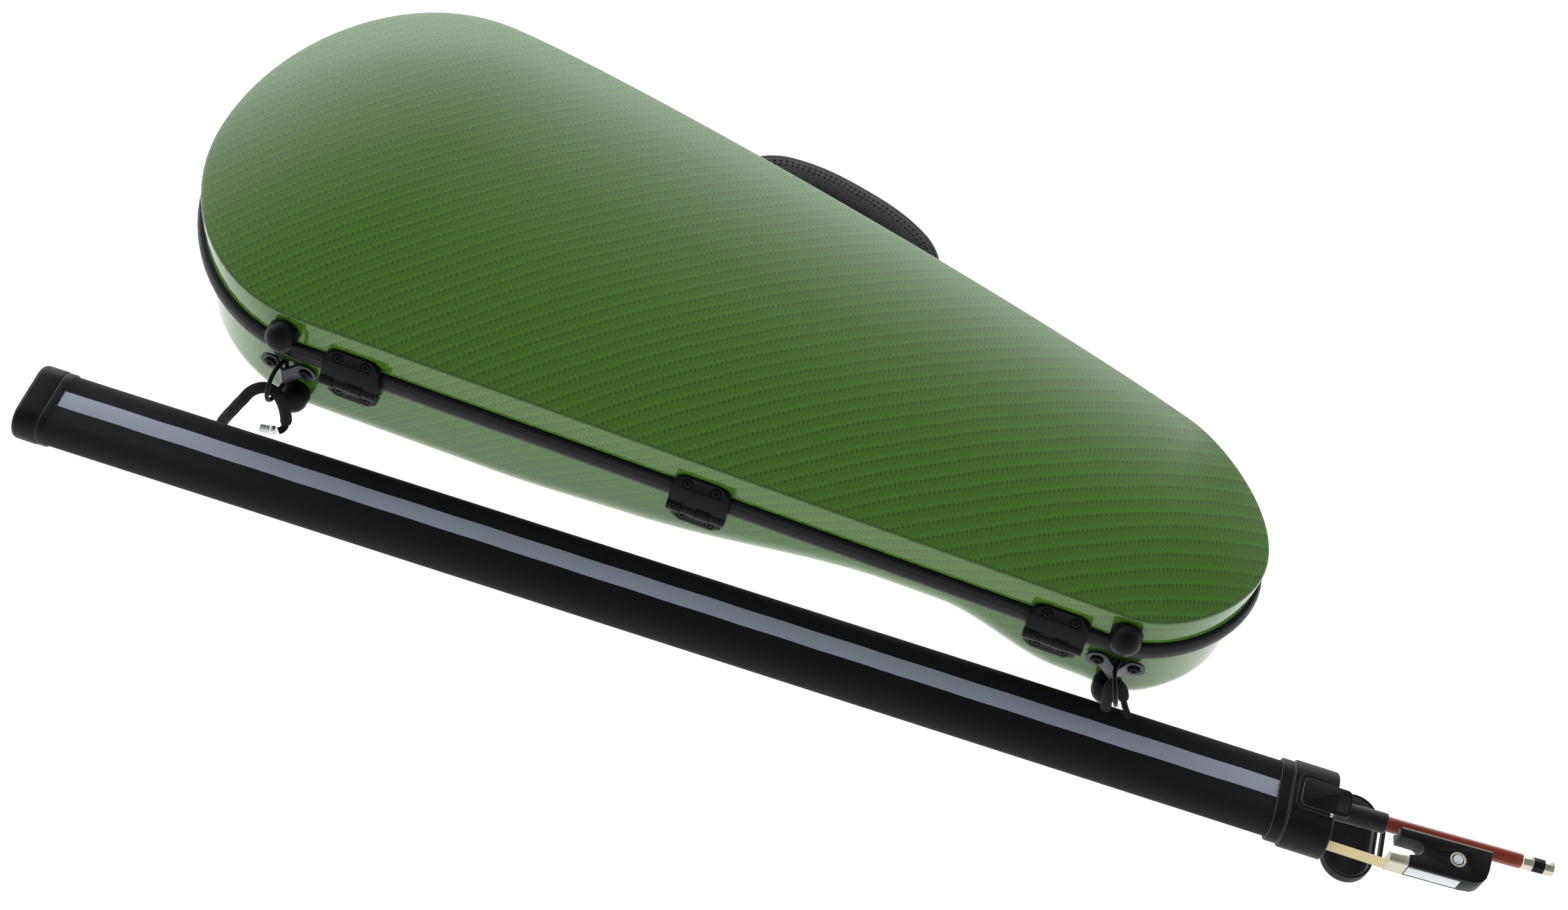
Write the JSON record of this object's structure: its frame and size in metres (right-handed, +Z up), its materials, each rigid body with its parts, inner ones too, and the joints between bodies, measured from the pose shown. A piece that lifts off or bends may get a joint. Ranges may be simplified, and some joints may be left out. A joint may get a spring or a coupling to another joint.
{
  "type": "violin case",
  "caption": "Shaped hard violin case with domed hinged lid, rubber seam profile, carrying handle, latches and a bow tube hung on its side with a bow in it",
  "frame": {"origin": "middle of the bounding box of everything, at the height of the surface the case lies on", "axes": "+X along the hinge line from the wide end to the narrow end, +Y from the hinge side with the bow tube towards the handle side, +Z up, out of the lid"},
  "size_m": [0.8786, 0.3458, 0.115],
  "materials": {
    "black_leather": "pebbled, semi-matt",
    "black_metal": "black satin coating",
    "black_nylon": "woven nylon",
    "black_plastic": "fine texture",
    "black_rubber": "smooth satin",
    "bow_hair": "straight fibres",
    "bow_wood": "varnished",
    "ebony": "polished",
    "green_composite": "clear-coated woven composite",
    "grey_metal": "dark plated, satin",
    "grey_tape": "reflective tape, satin",
    "plush_lining": "short-pile plush over foam",
    "silver": "polished",
    "zinc": "bright plated"
  },
  "bodies": {
    "case_base": {"base_foot_left": "black_rubber", "base_foot_right": "black_rubber", "bracket_screw_left_a": "black_metal", "bracket_screw_left_b": "black_metal", "bracket_screw_right_a": "black_metal", "bracket_screw_right_b": "black_metal", "handle_bracket_left": "black_metal", "handle_bracket_right": "black_metal", "hinge_leaf_base_left": "black_metal", "hinge_leaf_base_middle": "black_metal", "hinge_leaf_base_right": "black_metal", "hinge_pin_left": "grey_metal", "hinge_pin_middle": "grey_metal", "hinge_pin_right": "grey_metal", "latch_base_left": "black_metal", "latch_base_right": "black_metal", "lower_lining": "plush_lining", "lower_shell": "green_composite", "neck_cradle": "plush_lining", "neck_strap": "black_nylon", "rim_seal": "black_rubber", "strap_bracket_left": "grey_metal", "strap_bracket_right": "grey_metal"},
    "lid": {"hinge_leaf_lid_left": "black_metal", "hinge_leaf_lid_middle": "black_metal", "hinge_leaf_lid_right": "black_metal", "latch_strike_left": "black_metal", "latch_strike_right": "black_metal", "lid_foot_left": "black_rubber", "lid_foot_right": "black_rubber", "lid_lining": "plush_lining", "lid_rim_trim": "black_rubber", "lid_shell": "green_composite"},
    "bow_tube": {"bow_tube": "black_nylon", "loop_clasp_left": "zinc", "loop_cord_left": "black_nylon", "loop_cord_right": "black_nylon", "strap_loop_left": "black_nylon", "strap_loop_right": "black_nylon", "tube_collar": "black_plastic", "tube_end_cap": "black_plastic", "tube_stripe": "grey_tape"},
    "bow": {"bow_stick": "bow_wood", "bow_head": "bow_wood", "bow_hair": "bow_hair", "bow_frog": "ebony", "frog_ferrule": "silver", "bow_screw_button": "silver", "bow_grip": "black_leather"},
    "latch_lever_left": {"latch_lever_left": "black_metal"},
    "latch_lever_right": {"latch_lever_right": "black_metal"},
    "latch_bail_left": {"latch_bail_left": "grey_metal"},
    "latch_bail_right": {"latch_bail_right": "grey_metal"},
    "carrying_handle": {"handle_grip": "black_leather"},
    "d_ring_left": {"d_ring_left": "black_metal"},
    "d_ring_right": {"d_ring_right": "black_metal"},
    "tube_lid": {"tube_lid": "black_plastic"},
    "tube_latch_tab": {"tube_latch_tab": "black_plastic"}
  },
  "joints": [
    {"name": "lid_hinge", "type": "hinge", "parent": "case_base", "child": "lid", "pos_m": [-0.0609, -0.10346, 0.0675], "axis": [1, 0, 0], "range_deg": [0, 88]},
    {"name": "latch_lever_left_hinge", "type": "hinge", "parent": "case_base", "child": "latch_lever_left", "pos_m": [-0.20988, 0.15173, 0.058], "axis": [0.9826, -0.1856, 0], "range_deg": [0, 130]},
    {"name": "latch_bail_left_hinge", "type": "hinge", "parent": "latch_lever_left", "child": "latch_bail_left", "pos_m": [-0.20988, 0.15173, 0.051], "axis": [0.9826, -0.1856, 0], "range_deg": [-130, 0]},
    {"name": "latch_lever_right_hinge", "type": "hinge", "parent": "case_base", "child": "latch_lever_right", "pos_m": [0.11271, 0.07196, 0.058], "axis": [0.956, -0.2932, 0], "range_deg": [0, 130]},
    {"name": "latch_bail_right_hinge", "type": "hinge", "parent": "latch_lever_right", "child": "latch_bail_right", "pos_m": [0.11271, 0.07196, 0.051], "axis": [0.956, -0.2932, 0], "range_deg": [-130, 0]},
    {"name": "handle_swing", "type": "hinge", "parent": "case_base", "child": "carrying_handle", "pos_m": [-0.05872, 0.12012, 0.05], "axis": [0.9716, -0.2367, 0], "range_deg": [0, 80]},
    {"name": "d_ring_left_swing", "type": "hinge", "parent": "case_base", "child": "d_ring_left", "pos_m": [-0.304, -0.09846, 0.0538], "axis": [0, 0, 1], "range_deg": [-10, 0]},
    {"name": "d_ring_right_swing", "type": "hinge", "parent": "case_base", "child": "d_ring_right", "pos_m": [0.1797, -0.09756, 0.0538], "axis": [0, 0, 1], "range_deg": [-1, 2]},
    {"name": "tube_swing", "type": "hinge", "parent": "case_base", "child": "bow_tube", "pos_m": [-0.0625, -0.11296, 0.055], "axis": [-1, 0, 0], "range_deg": [0, 60]},
    {"name": "bow_slide", "type": "slide", "parent": "bow_tube", "child": "bow", "axis": [0.9992, 0.0375, 0.0131], "range_m": [-0.118, 0.64]},
    {"name": "tube_lid_hinge", "type": "hinge", "parent": "bow_tube", "child": "tube_lid", "pos_m": [0.31888, -0.12116, 0.00793], "axis": [0.0375, -0.9993, 0], "range_deg": [0, 12]},
    {"name": "tube_tab_flex", "type": "hinge", "parent": "bow_tube", "child": "tube_latch_tab", "pos_m": [0.29846, -0.11993, 0.03547], "axis": [0.0375, -0.9993, 0], "range_deg": [0, 8], "stiffness_Nm_per_rad": 0.05}
  ],
  "couplings": [
    {"joint": "latch_bail_left_hinge", "follows": "latch_lever_left_hinge", "ratio": -1},
    {"joint": "latch_bail_right_hinge", "follows": "latch_lever_right_hinge", "ratio": -1}
  ]
}
